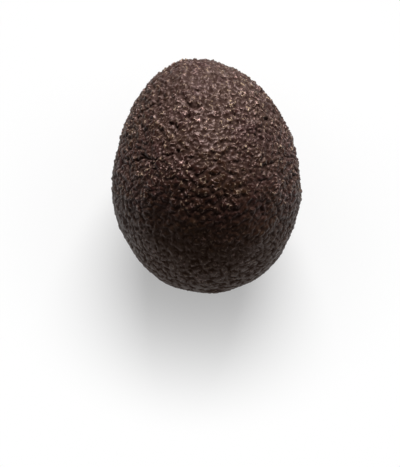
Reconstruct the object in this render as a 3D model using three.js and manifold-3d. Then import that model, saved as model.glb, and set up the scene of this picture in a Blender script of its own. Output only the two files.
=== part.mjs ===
// A ripe avocado as picked: one whole fruit, lying on its side on the small flat that its own
// weight has pressed into it, with the woody stub of its stem still seated in the stem end.
// Millimetres, +Z up. The origin is the middle of the resting flat, and the stem end points
// along +Y. The fruit is first made standing on its blossom end along its own +Y axis, then
// laid down.

import * as THREE from "three";
import { mergeVertices } from "three/addons/utils/BufferGeometryUtils.js";
import Module from "manifold-3d";

const wasm = await Module();
wasm.setup();

// ---- Driving dimensions -------------------------------------------------------------------

const LENGTH = 85; // blossom end to stem end
const WIDTH = 68.1; // across the belly, level with the table
const HEIGHT = 65.2; // through the belly, at right angles to its width
const BELLY = 36.4; // the widest place, measured from the blossom end

// The outline is two smooth arcs that meet at the belly. Each handle says how far an arc keeps
// to its first direction before it turns.
const BLOSSOM_FLATNESS = 25; // handle out from the blossom end
const BELLY_BELOW = 11; // handle below the belly
const BELLY_ABOVE = 23; // handle above the belly
const SHOULDER_SPREAD = 16.5; // handle out from the stem end
const SHOULDER_DROP = 4; // how far that handle slopes down

// The stem end: a small level face with a shallow socket that holds the stem stub.
const FACE_RADIUS = 5.2;
const SOCKET_RADIUS = 4.2;
const SOCKET_DEPTH = 2.6;
const LIP_ROUNDING = 0.6; // of the socket's lip
const FLOOR_ROUNDING = 0.5; // where the socket's wall meets its floor
const STEM_LEAN = 1.3; // how far the stem end stands to one side of the fruit's axis
const LEAN_START = 55; // height at which the fruit starts to lean
const FACE_SLANT = 2.5; // degrees that the face is turned from square to the axis
const SLANT_START = 66; // height at which the skin starts to turn with it

// The woody stub left in the socket where the stem was cut: a short plug with a domed end.
const STUB_RADIUS = 3.7;
const STUB_HEIGHT = 2.05;
const STUB_TAPER = 0.5; // how much narrower it is at its foot
const STUB_ROUNDING = 0.4; // of the edge of its cut face
const STUB_CROWN = 0.35; // how far its cut face domes up
const SEAT_GAP = 0.3; // clearance between the stub's foot and the socket's floor

// How the fruit lies.
const STEM_DIP = 7; // degrees that the stem end hangs below level
const STEM_TURN = 2.2; // degrees that the axis is turned towards -X
const FLAT_DEPTH = 0.45; // how far the resting flat is pressed into the fruit

// Facets.
const AROUND = 64;
const BLOSSOM_RINGS = 16;
const STEM_RINGS = 20;
const ROUNDING_STEPS = 3;
const CROWN_STEPS = 3;

// Broad swellings and hollows, as no fruit grows quite round. Each has its side in degrees
// round the axis (0 is +X, 90 is up as the fruit lies), its height above the blossom end, how
// far it reaches along the skin, and how far it rises. A negative rise is a hollow.
const SWELLINGS = [
  { side: 0, height: 8, reach: 12, rise: 0.9 },
  { side: 180, height: 6, reach: 12, rise: -0.9 },
  { side: 0, height: 53, reach: 9, rise: 0.55 },
  { side: 180, height: 39, reach: 7, rise: 0.25 },
  { side: 180, height: 55, reach: 8, rise: -0.3 },
  { side: 94, height: 46, reach: 16, rise: 2.7 },
  { side: 62, height: 58, reach: 9, rise: 0.5 },
  { side: 112, height: 50, reach: 8, rise: -0.45 },
  { side: 75, height: 30, reach: 11, rise: 0.35 },
  { side: 215, height: 38, reach: 12, rise: 0.35 },
  { side: 320, height: 45, reach: 12, rise: -0.2 },
];

// ---- Form ---------------------------------------------------------------------------------

const v2 = (x, y) => new THREE.Vector2(x, y);

// The fruit's outline from the blossom end up to the edge of the stem end's level face.
function skinOutline() {
  const radius = WIDTH / 2;
  const blossomArc = new THREE.CubicBezierCurve(
    v2(0, 0),
    v2(BLOSSOM_FLATNESS, 0),
    v2(radius, BELLY - BELLY_BELOW),
    v2(radius, BELLY),
  );
  const stemArc = new THREE.CubicBezierCurve(
    v2(radius, BELLY),
    v2(radius, BELLY + BELLY_ABOVE),
    v2(FACE_RADIUS + SHOULDER_SPREAD, LENGTH - SHOULDER_DROP),
    v2(FACE_RADIUS, LENGTH),
  );
  const lower = blossomArc.getSpacedPoints(BLOSSOM_RINGS);
  const upper = stemArc.getSpacedPoints(STEM_RINGS);
  return [...lower, ...upper.slice(1)];
}

// Points along an arc, from one angle to another, both in quarter turns.
function arc(x, y, radius, from, to) {
  return Array.from({ length: ROUNDING_STEPS + 1 }, (_, step) => {
    const quarters = THREE.MathUtils.lerp(from, to, step / ROUNDING_STEPS);
    const angle = (quarters * Math.PI) / 2;
    return v2(x + radius * Math.cos(angle), y + radius * Math.sin(angle));
  });
}

// The socket's outline, from its rounded lip down to the middle of its floor.
function socketOutline() {
  const floor = LENGTH - SOCKET_DEPTH;
  const lip = arc(SOCKET_RADIUS + LIP_ROUNDING, LENGTH - LIP_ROUNDING, LIP_ROUNDING, 1, 2);
  const foot = arc(SOCKET_RADIUS - FLOOR_ROUNDING, floor + FLOOR_ROUNDING, FLOOR_ROUNDING, 0, -1);
  return [...lip, ...foot, v2(0, floor)];
}

// The stub's outline, from the middle of its foot up to the middle of its cut face.
function stubOutline() {
  const foot = LENGTH - SOCKET_DEPTH + SEAT_GAP;
  const top = foot + STUB_HEIGHT;
  const edge = top - STUB_CROWN;
  const inner = STUB_RADIUS - STUB_ROUNDING;
  const crown = new THREE.QuadraticBezierCurve(v2(inner, edge), v2(inner / 2, top), v2(0, top));
  return [
    v2(0, foot),
    v2(STUB_RADIUS - STUB_TAPER, foot),
    ...arc(inner, edge - STUB_ROUNDING, STUB_ROUNDING, 0, 1),
    ...crown.getPoints(CROWN_STEPS).slice(1),
  ];
}

// How far to one side the fruit's middle stands at a height above the blossom end.
function leanAt(height) {
  const share = Math.max(0, height - LEAN_START) / (LENGTH - LEAN_START);
  return -STEM_LEAN * share ** 3;
}

// How far the skin is raised at a height and place across, as the stem end's face is slanted.
function slantAt(height, across) {
  const share = THREE.MathUtils.smoothstep(height, SLANT_START, LENGTH);
  return -across * share * Math.tan(THREE.MathUtils.degToRad(FACE_SLANT));
}

// Where a swelling is centred, on the round fruit before it leans.
function swellingCentre({ side, height }) {
  const angle = THREE.MathUtils.degToRad(side);
  const radius = WIDTH / 2;
  return new THREE.Vector3(radius * Math.cos(angle), height, radius * Math.sin(angle));
}

// Turns a round, upright form into the fruit's own: swollen here and there, a little less
// high than wide, and leaning at the stem end.
function grow(geometry) {
  const position = geometry.getAttribute("position");
  const point = new THREE.Vector3();
  const outward = new THREE.Vector3();
  const middle = new THREE.Vector3(0, BELLY, 0);
  const centres = SWELLINGS.map(swellingCentre);
  for (let i = 0; i < position.count; i++) {
    point.fromBufferAttribute(position, i);
    outward.subVectors(point, middle).normalize();
    const rise = SWELLINGS.reduce((sum, swelling, k) => {
      const distance = point.distanceTo(centres[k]) / swelling.reach;
      return sum + swelling.rise * Math.exp(-distance * distance);
    }, 0);
    point.addScaledVector(outward, rise);
    point.z *= HEIGHT / WIDTH;
    point.y += slantAt(point.y, point.x);
    point.x += leanAt(point.y);
    position.setXYZ(i, point.x, point.y, point.z);
  }
  return geometry;
}

// ---- Solids -------------------------------------------------------------------------------

// A closed solid from a geometry whose shared vertices are merged.
function solidOf(geometry) {
  const bare = geometry.clone().deleteAttribute("normal").deleteAttribute("uv");
  const merged = mergeVertices(bare, 1e-4);
  return new wasm.Manifold(
    new wasm.Mesh({
      numProp: 3,
      vertProperties: merged.attributes.position.array,
      triVerts: new Uint32Array(merged.index.array),
    }),
  );
}

// A three.js geometry from a solid.
function geometryOf(solid) {
  const mesh = solid.getMesh();
  const geometry = new THREE.BufferGeometry();
  geometry.setAttribute("position", new THREE.BufferAttribute(mesh.vertProperties, 3));
  geometry.setIndex(new THREE.BufferAttribute(mesh.triVerts, 1));
  geometry.computeVertexNormals();
  return geometry;
}

// The lowest point of a geometry.
function lowestPoint(geometry) {
  const position = geometry.getAttribute("position");
  const lowest = new THREE.Vector3(0, 0, Infinity);
  const point = new THREE.Vector3();
  for (let i = 0; i < position.count; i++) {
    point.fromBufferAttribute(position, i);
    if (point.z < lowest.z) lowest.copy(point);
  }
  return lowest;
}

// Presses the resting flat: cuts away what reaches below the table at z = 0.
function pressFlat(geometry) {
  const slab = new THREE.BoxGeometry(2 * LENGTH, 2 * LENGTH, WIDTH).translate(0, 0, -WIDTH / 2);
  return geometryOf(solidOf(geometry).subtract(solidOf(slab)));
}

// ---- The avocado --------------------------------------------------------------------------

const skin = new THREE.MeshStandardMaterial({ color: 0x3a2a24, roughness: 0.5, metalness: 0 });
const cutWood = new THREE.MeshStandardMaterial({ color: 0x6e5238, roughness: 0.85, metalness: 0 });

const fruitForm = grow(new THREE.LatheGeometry([...skinOutline(), ...socketOutline()], AROUND));
const stubForm = grow(new THREE.LatheGeometry(stubOutline(), AROUND / 2));

// Lays a form down: the axis is already level, so it only turns and dips.
const lying = new THREE.Matrix4().makeRotationFromEuler(
  new THREE.Euler(
    THREE.MathUtils.degToRad(-STEM_DIP),
    0,
    THREE.MathUtils.degToRad(STEM_TURN),
    "ZXY",
  ),
);
fruitForm.applyMatrix4(lying);
stubForm.applyMatrix4(lying);

const touch = lowestPoint(fruitForm);
const rest = new THREE.Matrix4().makeTranslation(-touch.x, -touch.y, -touch.z - FLAT_DEPTH);
fruitForm.applyMatrix4(rest);
stubForm.applyMatrix4(rest);

const fruit = new THREE.Mesh(pressFlat(fruitForm), skin);
fruit.name = "fruit";

const stemStub = new THREE.Mesh(stubForm, cutWood);
stemStub.name = "stem_stub";

const avocado = new THREE.Group();
avocado.name = "avocado";
avocado.add(fruit, stemStub);

export default avocado;
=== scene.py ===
# %% [markdown]
# # A ripe avocado
#
# One whole avocado lies on its side on a white table, and the camera looks straight down on it.
# Its rind is dark, leathery and rough at three scales: low mounds nearly a centimetre wide with a
# few creases among them, pebbles about 3 mm across, and a crinkle about a millimetre across.
# All three shape the outline and the shadows, so all three are real geometry here. Only the thin
# waxy lines on top of the crinkle are left to the material. Everything is in metres, in the frame
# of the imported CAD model.

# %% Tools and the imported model
import math

import bpy
import numpy as np
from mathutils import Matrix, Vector, bvhtree, kdtree, noise


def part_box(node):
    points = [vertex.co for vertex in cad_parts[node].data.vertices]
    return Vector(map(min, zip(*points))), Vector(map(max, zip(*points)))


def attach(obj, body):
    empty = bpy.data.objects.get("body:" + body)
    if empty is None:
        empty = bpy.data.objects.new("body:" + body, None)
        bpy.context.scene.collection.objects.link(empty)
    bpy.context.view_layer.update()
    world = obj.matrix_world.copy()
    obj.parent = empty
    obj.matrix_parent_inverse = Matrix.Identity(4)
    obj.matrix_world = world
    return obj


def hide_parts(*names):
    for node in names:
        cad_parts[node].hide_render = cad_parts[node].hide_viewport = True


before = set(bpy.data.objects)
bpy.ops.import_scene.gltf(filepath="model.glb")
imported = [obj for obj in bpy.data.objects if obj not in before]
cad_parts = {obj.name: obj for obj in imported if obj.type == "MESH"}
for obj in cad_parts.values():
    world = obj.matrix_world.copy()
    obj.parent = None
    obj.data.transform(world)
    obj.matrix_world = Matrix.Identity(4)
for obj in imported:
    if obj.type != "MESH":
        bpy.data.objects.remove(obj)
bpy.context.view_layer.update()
MM = 0.001

# %% [markdown]
# ## A ball of small even squares
#
# The skin needs points about 0.4 mm apart everywhere, so that a pebble is several points across.
# A sphere with poles would crowd its points at both ends of the fruit, just where the stem socket
# and the blossom scar are. A cube that is cut into squares and blown up into a ball has no poles,
# and taking the tangent of its coordinates first makes the squares nearly equal in size.


# %% Make the ball
CUTS = 7  # each face of the cube becomes 128 x 128 squares


def read_points(mesh):
    flat = np.empty(len(mesh.vertices) * 3)
    mesh.vertices.foreach_get("co", flat)
    return flat.reshape(-1, 3)


def write_points(mesh, points):
    mesh.vertices.foreach_set("co", points.ravel())
    mesh.update()


bpy.ops.mesh.primitive_cube_add(size=2)
skin = bpy.context.object
skin.name = "avocado_skin"
squares = skin.modifiers.new("squares", "SUBSURF")
squares.subdivision_type = "SIMPLE"
squares.levels = CUTS
bpy.ops.object.modifier_apply(modifier="squares")

directions = np.tan(read_points(skin.data) * math.pi / 4)
directions /= np.linalg.norm(directions, axis=1, keepdims=True)
print("skin squares:", len(skin.data.polygons), "points:", len(directions))

# %% [markdown]
# ## Shrink the ball onto the fruit
#
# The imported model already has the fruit's true outline. A ray from the middle of the fruit along
# each point's direction finds the place of that point on the solid.


# %% Find each point's place on the solid
fruit_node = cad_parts["fruit"]
fruit_low, fruit_high = (np.array(corner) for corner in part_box("fruit"))
middle = (fruit_low + fruit_high) / 2
solid = bvhtree.BVHTree.FromObject(fruit_node, bpy.context.evaluated_depsgraph_get())


def place_on_solid(direction):
    spot, *_ = solid.ray_cast(Vector(middle), Vector(direction))
    return spot


points = np.array([place_on_solid(direction) for direction in directions])
print("points on the solid in mm:", np.round(np.ptp(points, axis=0) / MM, 1))

# %% [markdown]
# ## Where the stem and the flower were
#
# The stem stub's own solid says where the stem end is and which way it faces: the stub is a short
# disc, so its thinnest direction is the stem's axis. The blossom end, where the flower once was, is
# straight across the fruit from it.


# %% Find the stem axis and the blossom end
def split(places, centre, axis):
    """How far places lie along an axis through a centre, and where they lie across it."""
    along = (places - centre) @ axis
    return along, places - centre - np.outer(along, axis)


stub_points = read_points(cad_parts["stem_stub"].data)
stub_middle = (stub_points.min(axis=0) + stub_points.max(axis=0)) / 2
stub_axes = np.linalg.svd(stub_points - stub_points.mean(axis=0), full_matrices=False)[2]
stem_axis = stub_axes[2] * np.sign(stub_axes[2][1])
stub_along, stub_across = split(stub_points, stub_middle, stem_axis)
stub_radius = np.linalg.norm(stub_across, axis=1).max()
blossom_end = np.array(place_on_solid(middle - stub_middle))
print("stem axis:", np.round(stem_axis, 3), "blossom end in mm:", np.round(blossom_end / MM, 1))
print("stub radius in mm:", round(stub_radius / MM, 2), "height:", round(np.ptp(stub_along) / MM, 2))

# %% [markdown]
# ## Bridge the socket, then round the facets off
#
# The solid is made of facets two or three millimetres wide, which the light would show, so every
# point is averaged with its neighbours a few dozen times. That would also turn the stem's socket
# into a wide bowl. So the socket is bridged first, level with the face round it, and is pressed in
# again with the relief, where its wall can stay steep.

# %% Bridge the socket
STEM_END_DEPTH = 6 * MM  # how far below the stub's middle the stem end is taken to reach
FACE_BAND = (4.9 * MM, 5.2 * MM)  # where the solid's level face lies round the socket

stem_along, stem_across = split(points, stub_middle, stem_axis)
stem_reach = np.linalg.norm(stem_across, axis=1)
at_stem = stem_along > -STEM_END_DEPTH
on_face = at_stem & (stem_reach > FACE_BAND[0]) & (stem_reach < FACE_BAND[1])
face_level = np.median(stem_along[on_face])
in_socket = at_stem & (stem_reach < FACE_BAND[0])
points[in_socket] += np.outer(face_level - stem_along[in_socket], stem_axis)
print("socket points bridged:", in_socket.sum())
print("face above the stub's middle in mm:", round(face_level / MM, 2))

# %% Round the facets off
SMOOTHINGS = 40

edges = np.empty(len(skin.data.edges) * 2, dtype=np.int64)
skin.data.edges.foreach_get("vertices", edges)
edges = edges.reshape(-1, 2)
neighbours = np.bincount(edges.ravel(), minlength=len(points))


def neighbour_mean(values):
    """The mean of each point's neighbours, for one column of values."""
    near = np.bincount(edges[:, 0], values[edges[:, 1]], len(points))
    near += np.bincount(edges[:, 1], values[edges[:, 0]], len(points))
    return near / neighbours


def smooth(values, times):
    for _ in range(times):
        values = (values + neighbour_mean(values)) / 2
    return values


def outward_directions(mesh):
    flat = np.empty(len(mesh.vertices) * 3)
    mesh.vertex_normals.foreach_get("vector", flat)
    return flat.reshape(-1, 3)


facet_points = points
points = np.column_stack([smooth(column, SMOOTHINGS) for column in facet_points.T])
write_points(skin.data, points)
outward = outward_directions(skin.data)
sinking = ((facet_points - points) * outward).sum(axis=1)
print("fruit in mm:", np.round(np.ptp(points, axis=0) / MM, 1))
print("sunk by rounding, in mm: half under", round(np.median(sinking) / MM, 3))

# %% [markdown]
# ## How bumps share out the skin
#
# The pebbles are bumps that grew against each other until they touched, so each has its own patch of
# skin with a groove round it. The creases run between larger patches of the same kind. Seeds spread
# over the skin give that pattern: every point belongs to its nearest seed, and it lies in a groove
# where the two nearest seeds are equally far. Moving each seed to the middle of its patch twice
# evens the patches out. The points are pushed about a little before they look for their seeds, which
# makes the grooves wander.

# %% Scatter seeds and find the nearest ones
SEED_SAMPLE = 3  # one point in this many is enough to find the middle of a patch
EVENINGS = 2

rng = np.random.default_rng(82)
skin_area = sum(polygon.area for polygon in skin.data.polygons)
print("skin area in square cm:", round(skin_area * 1e4, 1))


def nearest_seeds(places, seeds, count):
    """For each place, the numbers of its nearest seeds and how far they are."""
    tree = kdtree.KDTree(len(seeds))
    for number, seed in enumerate(seeds):
        tree.insert(seed, number)
    tree.balance()
    found = [tree.find_n(place, count) for place in places]
    numbers = np.array([[hit[1] for hit in hits] for hits in found])
    distances = np.array([[hit[2] for hit in hits] for hits in found])
    return numbers, distances


def scatter_seeds(count):
    """That many seeds, spread evenly over the skin, and how far apart they are."""
    sample = points[::SEED_SAMPLE]
    seeds = points[rng.choice(len(points), count, replace=False)]
    for _ in range(EVENINGS):
        owner = nearest_seeds(sample, seeds, 1)[0][:, 0]
        size = np.maximum(np.bincount(owner, minlength=len(seeds)), 1)
        sums = [np.bincount(owner, column, len(seeds)) for column in sample.T]
        seeds = np.column_stack(sums) / size[:, None]
    return seeds, math.sqrt(skin_area / count)


# %% Noise, and shares that change along the fruit
def noise_at(places, size, shift):
    """Smooth noise from about -1 to 1, with features of about that size. Each use has a shift of
    its own, so that no two patterns are alike."""
    return np.array([noise.noise(place) for place in places / size + shift])


def wander(places, size, reach, shift):
    """The places, each pushed by up to about reach in a direction that changes over size."""
    push = np.column_stack([noise_at(places, size, shift + 31.7 * axis) for axis in range(3)])
    return places + push * reach


def ease(values, low, high):
    """From 0 at low to 1 at high, with soft ends."""
    share = np.clip((values - low) / (high - low), 0, 1)
    return share * share * (3 - 2 * share)


def along_fruit(*stops):
    """A share that changes along the fruit, from stops of a place towards the stem and a share."""
    places, shares = zip(*stops)
    return np.interp(points[:, 1], places, shares)


# %% [markdown]
# ## Raise the relief
#
# The mounds are low, smooth swellings about 9 mm across. Patches of the same size have a deep, narrow
# crease along some of their edges, as old folds in leather do. The pebbles are 2.9 mm across, each
# with a height of its own. The crinkle is made of folds of noise at two sizes, rounded on top and
# sharp in the grooves, on a soft swell. Apart from the mounds, all of it is calmer towards the
# blossom end, where this fruit is smoothest.

# %% Mounds and creases
PATCH_COUNT = 203
MOUND_HEIGHT = 0.5 * MM
CREASE_DEPTH = 1.4 * MM
CREASE_WIDTH = 0.05  # as a share of the patches' spacing
CREASE_BEND = (9 * MM, 2.2 * MM)  # over this length a crease bends by up to this much
CREASE_JITTER = (3 * MM, 1.4 * MM)  # and again, in shorter bends
CREASE_SPAN = 8 * MM  # creases come and go over this length
CREASE_LIMITS = (-0.06, 0.14)  # where that noise leaves no crease and a whole one
CREASE_FADE = ((-6 * MM, 0.12), (12 * MM, 1))

patch_seeds, patch_spacing = scatter_seeds(PATCH_COUNT)
patch_places = wander(points, *CREASE_BEND, 3.1)
patch_places = wander(patch_places, *CREASE_JITTER, 8.4)
patch_distance = nearest_seeds(patch_places, patch_seeds, 2)[1]
patch_edge = (patch_distance[:, 1] - patch_distance[:, 0]) / patch_spacing
crease_here = np.interp(noise_at(points, CREASE_SPAN, 21.7), CREASE_LIMITS, (0, 1))
crease = np.exp(-patch_edge / CREASE_WIDTH) * crease_here * along_fruit(*CREASE_FADE)
mounds = noise_at(points, patch_spacing, 2.2)
print("mounds are", round(patch_spacing / MM, 1), "mm across")
print("share of the skin that is creased:", round((crease > 0.3).mean(), 3))

# %% Pebbles
PEBBLE_COUNT = 1958
PEBBLE_HEIGHT = 0.5 * MM
PEBBLE_RISE = (0.35, 1.0)  # the lowest and the highest pebble, as shares of that height
PEBBLE_FLANK = 2.2  # how steeply a pebble climbs from its groove
PEBBLE_WANDER = (2.4 * MM, 0.75 * MM)
PEBBLE_FADE = ((-25 * MM, 0.45), (8 * MM, 1))

pebble_seeds, pebble_spacing = scatter_seeds(PEBBLE_COUNT)
pebble_places = wander(points, *PEBBLE_WANDER, 40.3)
pebble_owner, pebble_distance = nearest_seeds(pebble_places, pebble_seeds, 2)
pebble_edge = (pebble_distance[:, 1] - pebble_distance[:, 0]) / pebble_spacing
pebble_share = along_fruit(*PEBBLE_FADE)
pebble_rise = rng.uniform(*PEBBLE_RISE, PEBBLE_COUNT)[pebble_owner[:, 0]] * pebble_share
pebbles = pebble_rise * np.sin(np.clip(pebble_edge * PEBBLE_FLANK, 0, math.pi / 2))
print("pebbles are", round(pebble_spacing / MM, 1), "mm across")

# %% Crinkle
CRINKLE_SIZE = 1.1 * MM
CRINKLE_HEIGHT = 0.76 * MM
CRINKLE_WANDER = (2 * MM, 0.5 * MM)
FINE_SHARE = 0.5  # how high the finer folds are, as a share of the others
FINE_RATIO = 1.9  # how many times smaller they are
SWELL_SIZE = 2 * MM
SWELL_SHARE = 0.7
CRINKLE_FADE = ((-25 * MM, 0.45), (5 * MM, 1), (25 * MM, 1.25))


def folds_at(places, size, shift):
    """Rounded folds with sharp grooves between them, 0 in the grooves and about 0.5 on top."""
    return np.abs(noise_at(places, size, shift))


crinkle_places = wander(points, *CRINKLE_WANDER, 61.0)
crinkle = folds_at(crinkle_places, CRINKLE_SIZE, 5.5)
crinkle += FINE_SHARE * folds_at(crinkle_places, CRINKLE_SIZE / FINE_RATIO, 15.5)
crinkle += SWELL_SHARE * noise_at(crinkle_places, SWELL_SIZE, 33.3)
crinkle *= along_fruit(*CRINKLE_FADE)
print("crinkle from top to groove in mm:", round(CRINKLE_HEIGHT * np.ptp(crinkle) / MM, 2))

# %% [markdown]
# ## The two ends
#
# The skin sinks into a small socket at the stem end. Its lip is a soft roll that isn't quite
# round, and fine pleats run out from it, because the skin was drawn in there while the fruit hung.
# At the blossom end the flower left a shallow dimple with a dry nib in its middle. The relief is
# calm close round the stem, so that the lip reads.

# %% The stem end
SOCKET_DEPTH = 2.4 * MM
SOCKET_WALL = (3.9 * MM, 4.4 * MM)  # from the foot of the socket's wall to its lip
SOCKET_WAVE = 0.35 * MM  # how far out of round the wall is
SOCKET_LOBES = 1.3  # the larger, the more waves there are round the wall
LIP_HEIGHT = 0.5 * MM
LIP_RADIUS = 5.0 * MM
LIP_WIDTH = 0.8 * MM
PLEAT_DEPTH = 0.9 * MM
PLEAT_REACH = 8 * MM
PLEAT_CROWDING = 2.6  # the larger, the more pleats there are round the lip
PLEAT_WIDTH = 0.16
FAR_AWAY = 1.0  # in metres, for points that aren't at the stem end
CALM_AT_LIP = 0.25  # the share of the relief that is left at the lip

stem_along, stem_across = split(points, stub_middle, stem_axis)
stem_side = stem_across / np.linalg.norm(stem_across, axis=1, keepdims=True)
stem_reach = np.linalg.norm(stem_across, axis=1)
stem_reach = np.where(stem_along > -STEM_END_DEPTH, stem_reach, FAR_AWAY)
socket_reach = stem_reach + SOCKET_WAVE * noise_at(SOCKET_LOBES * stem_side, 1, 6.6)
socket = 1 - ease(socket_reach, *SOCKET_WALL)
lip = np.exp(-(((stem_reach - LIP_RADIUS) / LIP_WIDTH) ** 2))
beyond_lip = ease(stem_reach, LIP_RADIUS, PLEAT_REACH)
pleat_places = PLEAT_CROWDING * stem_side + np.outer(stem_reach / PLEAT_REACH, stem_axis)
pleats = np.exp(-folds_at(pleat_places, 1, 12.8) / PLEAT_WIDTH)
pleats *= (1 - beyond_lip) * ease(stem_reach, *SOCKET_WALL)
away = CALM_AT_LIP + (1 - CALM_AT_LIP) * beyond_lip
print("points in the socket:", (socket > 0.5).sum(), "in the pleats:", (pleats > 0.5).sum())

# %% The blossom end
SCAR_RADIUS = 2.0 * MM
SCAR_DEPTH = 0.7 * MM
NIB_HEIGHT = 0.7 * MM
NIB_EDGE = (0.45 * MM, 1.17 * MM)  # from the nib's flat top out to its foot

scar_reach = np.linalg.norm(points - blossom_end, axis=1)
scar = np.exp(-((scar_reach / SCAR_RADIUS) ** 2))
nib = 1 - ease(scar_reach, *NIB_EDGE)
print("points in the dimple:", (scar > 0.5).sum(), "on the nib:", (nib > 0.5).sum())

# %% [markdown]
# ## Put the relief together
#
# The parts are added up in millimetres and the skin is moved outwards by the sum. The mean is taken
# off first, so that the fruit keeps its size. The socket is pressed in along the stem's axis
# instead, since its wall is steep. Skin that would go through the table is laid flat on it.

# %% Move the skin
relief = MOUND_HEIGHT * mounds - CREASE_DEPTH * crease
relief += PEBBLE_HEIGHT * pebbles + CRINKLE_HEIGHT * crinkle
relief -= relief.mean()
relief *= away
relief += LIP_HEIGHT * lip - PLEAT_DEPTH * pleats - SCAR_DEPTH * scar + NIB_HEIGHT * nib
skin_points = points + outward * relief[:, None] - np.outer(SOCKET_DEPTH * socket, stem_axis)
skin_points[:, 2] = np.maximum(skin_points[:, 2], 0)
write_points(skin.data, skin_points)
skin.data.polygons.foreach_set("use_smooth", np.ones(len(skin.data.polygons), dtype=bool))
turned = (outward_directions(skin.data) * outward).sum(axis=1)
lean = np.degrees(np.arccos(np.clip(turned, -1, 1)))
print("relief in mm:", round(relief.min() / MM, 2), "to", round(relief.max() / MM, 2))
print("lean of the skin in degrees, half under:", round(np.median(lean)))

# %% [markdown]
# ## Where shade is painted on the skin
#
# The low places are painted darker than the rind. This is painted shade, so the colour has to know
# where they are. A point is low when it lies under the relief averaged round it. The creases, the
# grooves between pebbles, the pleats, the socket and the ring round the nib are added by name. Both
# maps are kept on the mesh, one value to a point.


# %% Keep the painted shade of the low places, and the nib, for the colours
HOLLOW_DEPTH = 0.15 * MM  # a point this far under the relief round it gets the full painted shade
HOLLOW_SMOOTHINGS = 20
PEBBLE_GROOVE_SHADE = 0.4
PEBBLE_GROOVE_WIDTH = 0.12
RING_SHADE = 0.8


def keep(mesh, name, values):
    attribute = mesh.attributes.new(name, "FLOAT", "POINT")
    attribute.data.foreach_set("value", values.astype(np.float32))


# Painted shade: how much darker each point is drawn, from 0 to 1
hollow_shade = np.clip((smooth(relief, HOLLOW_SMOOTHINGS) - relief) / HOLLOW_DEPTH, 0, 1)
pebble_groove = PEBBLE_GROOVE_SHADE * pebble_share * np.exp(-pebble_edge / PEBBLE_GROOVE_WIDTH)
ring = RING_SHADE * 4 * scar * (1 - scar)  # the 4 brings its peak to RING_SHADE
groove_shade = hollow_shade + away * (crease + pebble_groove) + pleats + socket + ring
groove_shade = np.clip(groove_shade, 0, 1) * (1 - nib)
keep(skin.data, "groove_shade", groove_shade)
keep(skin.data, "nib", nib)
print("mean darkness of the skin:", round(groove_shade.mean(), 2))

# %% [markdown]
# ## The rind's finish
#
# The ripe rind is almost black, between olive and purple, and its colour drifts over a centimetre
# or so. It has a thin natural wax. Fine broken lines run over the tops of the folds, paler and
# glossier than the rest: partly rubbed wax, which is paler, and partly painted glints, which is why
# most of them are on the stem half, the side that faces the lamp, in patches a centimetre or two
# wide. The lines come from a noise that is cut at its middle level, which gives winding curves, a
# second noise breaks them into short pieces, and a third, much broader, wears them away here and
# there. They stand up by a hair. The grooves are dull and painted nearly black, as painted shade.
# The blossom half is plainer: browner, and duller towards its end.


# %% Small helpers for materials
def new_material(name):
    material = bpy.data.materials.new(name)
    material.use_nodes = True
    return material, material.node_tree.nodes, material.node_tree.links


def add(nodes, kind, **settings):
    node = nodes.new("ShaderNode" + kind)
    for setting, value in settings.items():
        setattr(node, setting, value)
    return node


def give(links, socket, value):
    """Sets a socket to a plain value, or links it if the value comes from another node."""
    if isinstance(value, bpy.types.NodeSocket):
        links.new(value, socket)
    else:
        socket.default_value = value


def noise_texture(nodes, links, scale, detail, where):
    texture = add(nodes, "TexNoise")
    give(links, texture.inputs["Scale"], scale)
    give(links, texture.inputs["Detail"], detail)
    give(links, texture.inputs["Vector"], where)
    return texture


def calculate(nodes, links, operation, first, second=0.0):
    step = add(nodes, "Math", operation=operation)
    give(links, step.inputs[0], first)
    give(links, step.inputs[1], second)
    return step.outputs[0]


def remap(nodes, links, value, before, after=(0, 1), kind="SMOOTHSTEP"):
    """A value that ran over the first pair of limits, made to run over the second."""
    step = add(nodes, "MapRange", interpolation_type=kind)
    limits = zip(("From Min", "From Max", "To Min", "To Max"), (*before, *after))
    for name, limit in limits:
        give(links, step.inputs[name], limit)
    give(links, step.inputs["Value"], value)
    return step.outputs["Result"]


def mixed(nodes, links, share, first, second):
    mix = add(nodes, "Mix", data_type="RGBA")
    give(links, mix.inputs["Factor"], share)
    give(links, mix.inputs["A"], first)
    give(links, mix.inputs["B"], second)
    return mix.outputs["Result"]


# %% Start the rind
RIND_OLIVE = (0.026, 0.0112, 0.0046, 1)
RIND_BROWN = (0.023, 0.0086, 0.0053, 1)
RIND_PURPLE = (0.026, 0.0088, 0.0082, 1)
RIND_IOR = 1.37
WARM_SHINE = (1.0, 0.74, 0.68, 1)
TONE_SCALE = 110
TONE_STOPS = (0.3, 0.5, 0.7)  # where the noise gives plain olive, brown and purple

rind, nodes, links = new_material("dark_rind")
shader = nodes["Principled BSDF"]
shader.inputs["IOR"].default_value = RIND_IOR
shader.inputs["Specular Tint"].default_value = WARM_SHINE
place = add(nodes, "TexCoord").outputs["Object"]
patches = noise_texture(nodes, links, TONE_SCALE, 3, place)
tones = add(nodes, "ValToRGB")
ends = tones.color_ramp.elements
ends[0].position, ends[0].color = TONE_STOPS[0], RIND_OLIVE
ends[1].position, ends[1].color = TONE_STOPS[2], RIND_PURPLE
ends.new(TONE_STOPS[1]).color = RIND_BROWN
links.new(patches.outputs["Fac"], tones.inputs["Fac"])
print("rind tones:", len(ends))
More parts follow.
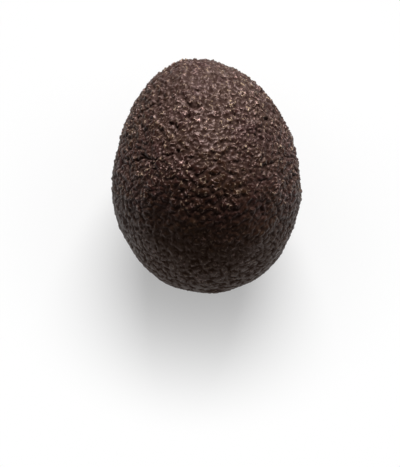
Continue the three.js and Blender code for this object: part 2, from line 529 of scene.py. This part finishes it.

# %% Waxy lines, partly painted glints
LINE_SCALE = 700
WARP_SCALE = 500
LINE_WANDER = 1.2 * MM
NOISE_MIDDLE = 0.5
LINE_EDGE = (0.09, 0.01)  # how near its middle level the noise is at a line's edge and core
BREAK_SCALE = 1100
PIECES = (0.38, 0.65)  # where the breaking noise leaves no line and a whole one
TOPS = (0.6, 0.1)  # how low a place is where the lines end and where they are whole
# the lines, partly painted glints, fade towards the blossom half, which the lamp leaves in shade
LINE_FADE = (-18 * MM, 8 * MM)
LINE_BLOSSOM_SHARE = 0.22
WEAR_SCALE = 75
WORN_PATCHES = (0.4, 1)  # how much of the wax is left in the worn patches and between them
DRIFT_SCALE = 260  # of the wax's drift from olive to rose
PATCH_EDGE = (0.42, 0.58)  # the levels of noise between which a patch turns into the next
# the lines' colours: paler for rubbed wax, and partly painted glint
WAX_GLINT_OLIVE = (0.36, 0.256, 0.172, 1)
WAX_GLINT_ROSE = (0.36, 0.228, 0.203, 1)

warp = noise_texture(nodes, links, WARP_SCALE, 2, place)
centred = add(nodes, "VectorMath", operation="SUBTRACT")
give(links, centred.inputs[0], warp.outputs["Color"])
give(links, centred.inputs[1], (NOISE_MIDDLE,) * 3)
pushed = add(nodes, "VectorMath", operation="MULTIPLY_ADD")
give(links, pushed.inputs[0], centred.outputs["Vector"])
give(links, pushed.inputs[1], (LINE_WANDER,) * 3)
give(links, pushed.inputs[2], place)
level = noise_texture(nodes, links, LINE_SCALE, 0, pushed.outputs["Vector"]).outputs["Fac"]
off_middle = calculate(nodes, links, "SUBTRACT", level, NOISE_MIDDLE)
off_middle = calculate(nodes, links, "ABSOLUTE", off_middle)
line = remap(nodes, links, off_middle, LINE_EDGE)
breaks = noise_texture(nodes, links, BREAK_SCALE, 0, place).outputs["Fac"]
pieces = remap(nodes, links, breaks, PIECES)
along = add(nodes, "SeparateXYZ")
give(links, along.inputs[0], place)
stem_half = remap(nodes, links, along.outputs["Y"], LINE_FADE, (LINE_BLOSSOM_SHARE, 1))
# the painted shade of the low places, kept on the mesh; it also tells where the tops are
low_place = add(nodes, "Attribute", attribute_name="groove_shade").outputs["Fac"]
on_top = remap(nodes, links, low_place, TOPS)
wax_and_glint = calculate(nodes, links, "MULTIPLY", line, pieces)
wax_and_glint = calculate(nodes, links, "MULTIPLY", wax_and_glint, on_top)
wax_and_glint = calculate(nodes, links, "MULTIPLY", wax_and_glint, stem_half)
wear = noise_texture(nodes, links, WEAR_SCALE, 1, place).outputs["Fac"]
worn = remap(nodes, links, wear, PATCH_EDGE, WORN_PATCHES)
wax_and_glint = calculate(nodes, links, "MULTIPLY", wax_and_glint, worn)
drift = noise_texture(nodes, links, DRIFT_SCALE, 1, place).outputs["Fac"]
wax_glint_colour = mixed(nodes, links, remap(nodes, links, drift, PATCH_EDGE), WAX_GLINT_OLIVE, WAX_GLINT_ROSE)
print("nodes so far:", len(nodes))

# %% Painted shade in the grooves, nib, gloss and grain
GROOVE_SHADE_COLOUR = (0.013, 0.0040, 0.0018, 1)
BLOSSOM_BROWN = (0.038, 0.0185, 0.0095, 1)
BLOSSOM_FADE = (-30 * MM, -6 * MM)
GROOVE_FADE = (-25 * MM, 5 * MM)
BLOSSOM_GROOVES = 0.5  # how strong the painted shade in the grooves is there, as a share
NIB_COLOUR = (0.075, 0.043, 0.026, 1)
GLOSS = (0.36, 0.86)  # roughness on top and in the grooves
WAX_GLOSS = 0.38  # a waxy line's roughness, as a share of its surroundings'
BLOSSOM_DULLNESS = 1.5  # how much rougher the blossom end is
DULL_FADE = (-42 * MM, -8 * MM)
LINE_HEIGHT = 0.24 * MM

brown = remap(nodes, links, along.outputs["Y"], BLOSSOM_FADE, (1, 0))
colour = mixed(nodes, links, brown, tones.outputs["Color"], BLOSSOM_BROWN)
# The grooves are painted nearly black: painted shade, weaker towards the blossom end
groove_share = remap(nodes, links, along.outputs["Y"], GROOVE_FADE, (BLOSSOM_GROOVES, 1))
groove_shade = calculate(nodes, links, "MULTIPLY", low_place, groove_share)
colour = mixed(nodes, links, groove_shade, colour, GROOVE_SHADE_COLOUR)
nib_here = add(nodes, "Attribute", attribute_name="nib").outputs["Fac"]
colour = mixed(nodes, links, nib_here, colour, NIB_COLOUR)
# the pale lines go onto the colour: rubbed wax and painted glints
give(links, shader.inputs["Base Color"], mixed(nodes, links, wax_and_glint, colour, wax_glint_colour))
dull = remap(nodes, links, low_place, (0, 1), GLOSS, "LINEAR")
waxed = remap(nodes, links, wax_and_glint, (0, 1), (1, WAX_GLOSS), "LINEAR")
rough = calculate(nodes, links, "MULTIPLY", dull, waxed)
duller = remap(nodes, links, along.outputs["Y"], DULL_FADE, (BLOSSOM_DULLNESS, 1))
give(links, shader.inputs["Roughness"], calculate(nodes, links, "MULTIPLY", rough, duller))
bump = add(nodes, "Bump")
give(links, bump.inputs["Distance"], LINE_HEIGHT)
give(links, bump.inputs["Height"], wax_and_glint)
give(links, shader.inputs["Normal"], bump.outputs["Normal"])
skin.data.materials.clear()
skin.data.materials.append(rind)
print("nodes in the rind:", len(nodes), "links:", len(links))

# %% The skin takes the place of the solid
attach(skin, "root")
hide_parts("fruit")

# %% [markdown]
# ## The stem stub
#
# When an avocado is clipped from the tree, a few millimetres of its stem stay behind as a dry,
# corky button. It has a darker rim of bark, a paler cut face that shrank as it dried and cracked
# from the middle outwards, and a small sunken pith. The button is made as a round grid of points,
# dense enough for the cracks to be real grooves. Each crack runs out along a turn of its own,
# wanders a little, and narrows to nothing at its end. The cracks and the pith are also painted
# darker, as painted shade.


# %% Make the stub's grid
STUB_RINGS = 36
STUB_SIDES = 128
SIDE_RINGS = 10
INNER_RING = 0.02  # the radius of the innermost ring, as a share of the stub's

across_x = np.cross(stem_axis, (0, 0, 1))
across_x /= np.linalg.norm(across_x)
across_y = np.cross(stem_axis, across_x)


def ring_grid(rings, sides):
    """The squares of a tube of rings, each ring joined to the next."""
    here = np.arange(rings * sides).reshape(rings, sides)
    after = np.roll(here, -1, axis=1)
    return np.stack([here[:-1], here[1:], after[1:], after[:-1]], axis=-1).reshape(-1, 4)


share = np.concatenate([np.linspace(INNER_RING, 1, STUB_RINGS), np.ones(SIDE_RINGS)])
drop = np.concatenate([np.zeros(STUB_RINGS), np.linspace(0, 1, SIDE_RINGS + 1)[1:]])
turn = np.linspace(0, 2 * math.pi, STUB_SIDES, endpoint=False)
share, turn = (grid.ravel() for grid in np.broadcast_arrays(share[:, None], turn[None, :]))
drop = np.repeat(drop, STUB_SIDES)
print("stub points:", len(share), "of them on its side:", (drop > 0).sum())

# %% Plan the cracks
CRACK_TURNS = (0.3, 1.1, 1.9, 2.6, 3.5, 4.1, 5.0, 5.7)  # radians round the stub
CRACK_ENDS = (0.9, 0.55, 0.8, 0.45, 0.95, 0.6, 0.85, 0.5)  # as shares of the radius
CRACK_WIDTH = 0.13 * MM  # half across
CRACK_TAPER = 1.2  # how wide a crack starts, as a share of that width
CRACK_TIP = 0.02 * MM
CRACK_FADE = 0.8  # where a crack starts to fade, as a share of its length
CRACK_BEND = 0.35  # radians
CRACK_BEND_SIZE = 1.6 * MM
OUT_OF_ROUND = 0.05
LOBE_SIZE = 0.9  # the smaller, the more lobes the button has
TAPER = 0.12

sides = np.column_stack([np.cos(turn), np.sin(turn), np.zeros(len(turn))])
wide = stub_radius * (1 - OUT_OF_ROUND + OUT_OF_ROUND * noise_at(sides, LOBE_SIZE, 4.4))
wide *= 1 - TAPER * drop
flat_place = sides * (share * wide)[:, None]
bent_turn = turn + CRACK_BEND * noise_at(flat_place, CRACK_BEND_SIZE, 9.1)


def one_crack(crack_turn, crack_end):
    """How deep in one crack each point is, from 0 to 1."""
    off_turn = (bent_turn - crack_turn + math.pi) % (2 * math.pi) - math.pi
    half_width = np.maximum(CRACK_WIDTH * (CRACK_TAPER - share / crack_end), CRACK_TIP)
    depth = np.exp(-((share * stub_radius * off_turn / half_width) ** 2))
    return depth * (1 - ease(share, CRACK_FADE * crack_end, crack_end))


crack = np.max([one_crack(*plan) for plan in zip(CRACK_TURNS, CRACK_ENDS)], axis=0)
print("share of the stub that is cracked:", round((crack > 0.5).mean(), 3))

# %% Shape the stub
CRACK_DEPTH = 0.4 * MM
RIM = (0.78, 0.88)  # where the cut face turns into the rim of bark, as shares of the radius
RIM_HEIGHT = 0.15 * MM
PITH = (0.1, 0.22)  # from the pith's floor to its edge, as shares of the radius
PITH_DEPTH = 0.4 * MM
# how dark the sunken pith is painted, as painted shade
PITH_SHADE = 0.7
CORK_HEIGHT = 0.16 * MM
CORK_SIZES = (0.45 * MM, 1.4 * MM)  # fine grain and coarse grain
COARSE_SHARE = 0.6
DOME = 0.35 * MM
EDGE_ROUNDING = 0.35 * MM
EDGE = (0.9, 1.0)  # where the edge's rounding begins and ends, as shares of the radius
SIDE_GRAIN = 0.02  # how far the grain pushes the side in and out, as a share of the radius
SIDE_CRACKS = 0.06  # how far the cracks notch it
FOOT_GAP = 0.6 * MM  # how much higher the foot stands than the solid's

pith = 1 - ease(share, *PITH)
rim = ease(share, *RIM) * (1 - drop)
cork = noise_at(flat_place, CORK_SIZES[0], 2.6)
cork += COARSE_SHARE * noise_at(flat_place, CORK_SIZES[1], 7.7)
top = stub_along.max() - DOME * share**2 - EDGE_ROUNDING * ease(share, *EDGE)
level = top - (np.ptp(stub_along) - FOOT_GAP) * drop + RIM_HEIGHT * rim - PITH_DEPTH * pith
level += (CORK_HEIGHT * cork - CRACK_DEPTH * crack) * (1 - drop)
shrink = 1 + (SIDE_GRAIN * cork - SIDE_CRACKS * crack) * drop
stub_places = stub_middle + np.outer(level, stem_axis)
stub_places += np.outer(flat_place[:, 0] * shrink, across_x)
stub_places += np.outer(flat_place[:, 1] * shrink, across_y)

faces = [tuple(face) for face in ring_grid(STUB_RINGS + SIDE_RINGS, STUB_SIDES)]
faces.append(tuple(range(STUB_SIDES)))
faces.append(tuple(range(len(share) - 1, len(share) - STUB_SIDES - 1, -1)))
stub_mesh = bpy.data.meshes.new("stem_button")
stub_mesh.from_pydata(stub_places.tolist(), [], faces)
stub_mesh.polygons.foreach_set("use_smooth", np.ones(len(faces), dtype=bool))
button = bpy.data.objects.new("stem_button", stub_mesh)
bpy.context.scene.collection.objects.link(button)
# painted shade: the cracks and the sunken pith are drawn darker
keep(stub_mesh, "crack", np.clip(crack + PITH_SHADE * pith, 0, 1))
keep(stub_mesh, "bark", np.maximum(rim, drop > 0))
print("stub faces:", len(faces))

# %% Colour the stub
CUT_DARK = (0.055, 0.034, 0.021, 1)
CUT_PALE = (0.12, 0.078, 0.049, 1)
BARK_COLOUR = (0.035, 0.021, 0.014, 1)
CRACK_SHADE_COLOUR = (0.02, 0.011, 0.007, 1)
SPECKLE_SCALE = 2200
WOOD_ROUGHNESS = 0.85

wood, nodes, links = new_material("corky_wood")
shader = nodes["Principled BSDF"]
shader.inputs["Roughness"].default_value = WOOD_ROUGHNESS
place = add(nodes, "TexCoord").outputs["Object"]
speckle = noise_texture(nodes, links, SPECKLE_SCALE, 3, place).outputs["Fac"]
bark_here = add(nodes, "Attribute", attribute_name="bark").outputs["Fac"]
crack_shade_here = add(nodes, "Attribute", attribute_name="crack").outputs["Fac"]
colour = mixed(nodes, links, speckle, CUT_DARK, CUT_PALE)
colour = mixed(nodes, links, bark_here, colour, BARK_COLOUR)
# painted shade in the cracks and the pith
colour = mixed(nodes, links, crack_shade_here, colour, CRACK_SHADE_COLOUR)
give(links, shader.inputs["Base Color"], colour)
stub_mesh.materials.append(wood)
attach(button, "root")
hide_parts("stem_stub")
print("nodes in the wood:", len(nodes))

# %% [markdown]
# ## The table
#
# The fruit lies on a plain white table that goes on further than the camera sees. The light that
# reaches the fruit comes off a matt white table. Rays that the camera sends out, straight or by
# way of a shine or a glass, see it otherwise: partly matt and partly glowing near the fruit, which
# keeps the shadow pale and soft, and even white further off. Apart from its shine, which mirrors
# that table, the fruit gets no more light by it.

# %% Lay the table
TABLE_RADIUS = 3.0  # in metres
TABLE_SIDES = 128
TABLE_WHITE = 0.8
SEEN_WHITE = 0.51  # the matt part of the table as it is seen
NEAR_GLOW = 0.345  # the glowing part of it
WHITE_OUT = (38 * MM, 100 * MM)  # how far from the fruit's middle the even white begins and is full


def seen_directly(nodes, links):
    """1 for what the camera sees, also in a shine or through a glass, and 0 for the rest."""
    path = add(nodes, "LightPath").outputs
    seen = calculate(nodes, links, "MAXIMUM", path["Is Camera Ray"], path["Is Glossy Ray"])
    return calculate(nodes, links, "MAXIMUM", seen, path["Is Transmission Ray"])


bpy.ops.mesh.primitive_circle_add(vertices=TABLE_SIDES, radius=TABLE_RADIUS, fill_type="NGON")
table = bpy.context.object
table.name = "table"
white, nodes, links = new_material("white_table")
nodes.remove(nodes["Principled BSDF"])
seen = seen_directly(nodes, links)
matt = add(nodes, "BsdfDiffuse")
give(links, matt.inputs["Color"], remap(nodes, links, seen, (0, 1), (TABLE_WHITE, SEEN_WHITE)))
glow = add(nodes, "Emission")
give(links, glow.inputs["Strength"], calculate(nodes, links, "MULTIPLY", seen, NEAR_GLOW))
near = add(nodes, "AddShader")
give(links, near.inputs[0], matt.outputs[0])
give(links, near.inputs[1], glow.outputs[0])
reach = add(nodes, "VectorMath", operation="LENGTH")
give(links, reach.inputs[0], add(nodes, "TexCoord").outputs["Object"])
far_off = remap(nodes, links, reach.outputs["Value"], WHITE_OUT)
both = add(nodes, "MixShader")
give(links, both.inputs["Fac"], calculate(nodes, links, "MULTIPLY", far_off, seen))
give(links, both.inputs[1], near.outputs[0])
give(links, both.inputs[2], add(nodes, "Emission").outputs[0])
give(links, nodes["Material Output"].inputs["Surface"], both.outputs[0])
table.data.materials.append(white)
print("table width in m:", table.dimensions.x)

# %% [markdown]
# ## The room's light
#
# A weak even light fills the shadows. What the camera and the fruit's shine see is a white room
# that turns dark a little above the horizon, so that the fruit doesn't mirror a bright ceiling.

# %% The world
FILL = 0.22
ROOM_WHITE = 1.0
CEILING = 0.02
CEILING_START = (0.0, 0.2)  # how high a direction points where the dark starts and is full

world = bpy.data.worlds.new("studio")
bpy.context.scene.world = world
world.use_nodes = True
nodes, links = world.node_tree.nodes, world.node_tree.links
height = add(nodes, "SeparateXYZ")
give(links, height.inputs[0], add(nodes, "TexCoord").outputs["Generated"])
fill = nodes["Background"]
give(links, fill.inputs["Color"], (1, 1, 1, 1))
give(links, fill.inputs["Strength"], FILL)
room = add(nodes, "Background")
give(links, room.inputs["Color"], (1, 1, 1, 1))
rise = remap(nodes, links, height.outputs["Z"], CEILING_START, (ROOM_WHITE, CEILING))
give(links, room.inputs["Strength"], rise)
choose = add(nodes, "MixShader")
give(links, choose.inputs["Fac"], seen_directly(nodes, links))
give(links, choose.inputs[1], fill.outputs[0])
give(links, choose.inputs[2], room.outputs[0])
give(links, nodes["World Output"].inputs["Surface"], choose.outputs[0])
print("fill light:", FILL)

# %% [markdown]
# ## One lamp, low behind the stem end
#
# A wide flat softbox stands beyond the stem end, a little to the right and low enough to graze the
# skin. It lights the narrow half, lets the belly fall into its own shade, and makes each fold cast
# a small shadow. The fruit's own shadow falls beyond its blossom end.

# %% The lamp
LAMP_DISTANCE = 1.5  # in metres
LAMP_ELEVATION = 24  # degrees above the table
LAMP_SIDE = 7  # degrees to the right of the stem's direction
LAMP_SIZE = (1.0, 0.3)  # in metres
LAMP_POWER = 59  # in watts

turn, lift = math.radians(LAMP_SIDE), math.radians(LAMP_ELEVATION)
aim = Vector((math.sin(turn) * math.cos(lift), math.cos(turn) * math.cos(lift), math.sin(lift)))
softbox = bpy.data.lights.new("softbox", "AREA")
softbox.shape = "RECTANGLE"
softbox.size, softbox.size_y = LAMP_SIZE
softbox.energy = LAMP_POWER
stand = bpy.data.objects.new("softbox", softbox)
bpy.context.scene.collection.objects.link(stand)
stand.location = Vector(middle) + aim * LAMP_DISTANCE
stand.rotation_euler = aim.to_track_quat("Z", "Y").to_euler()
print("lamp height in m:", round(stand.location.z, 2))

# %% [markdown]
# ## The camera
#
# The camera hangs over the fruit and looks straight down, with the stem end at the top of the
# picture. It is moved towards the blossom end, which leaves room for the shadow below the fruit.

# %% The camera
CAMERA_LENS = 100  # in millimetres
CAMERA_HEIGHT = 0.503  # in metres
CAMERA_SHIFT = (-2.2 * MM, -20.7 * MM)

camera = bpy.data.objects.new("camera", bpy.data.cameras.new("camera"))
bpy.context.scene.collection.objects.link(camera)
camera.data.lens = CAMERA_LENS
camera.location = (middle[0] + CAMERA_SHIFT[0], middle[1] + CAMERA_SHIFT[1], CAMERA_HEIGHT)
bpy.context.scene.camera = camera
bpy.context.scene.view_settings.view_transform = "Standard"
print("camera height in m:", camera.location.z)
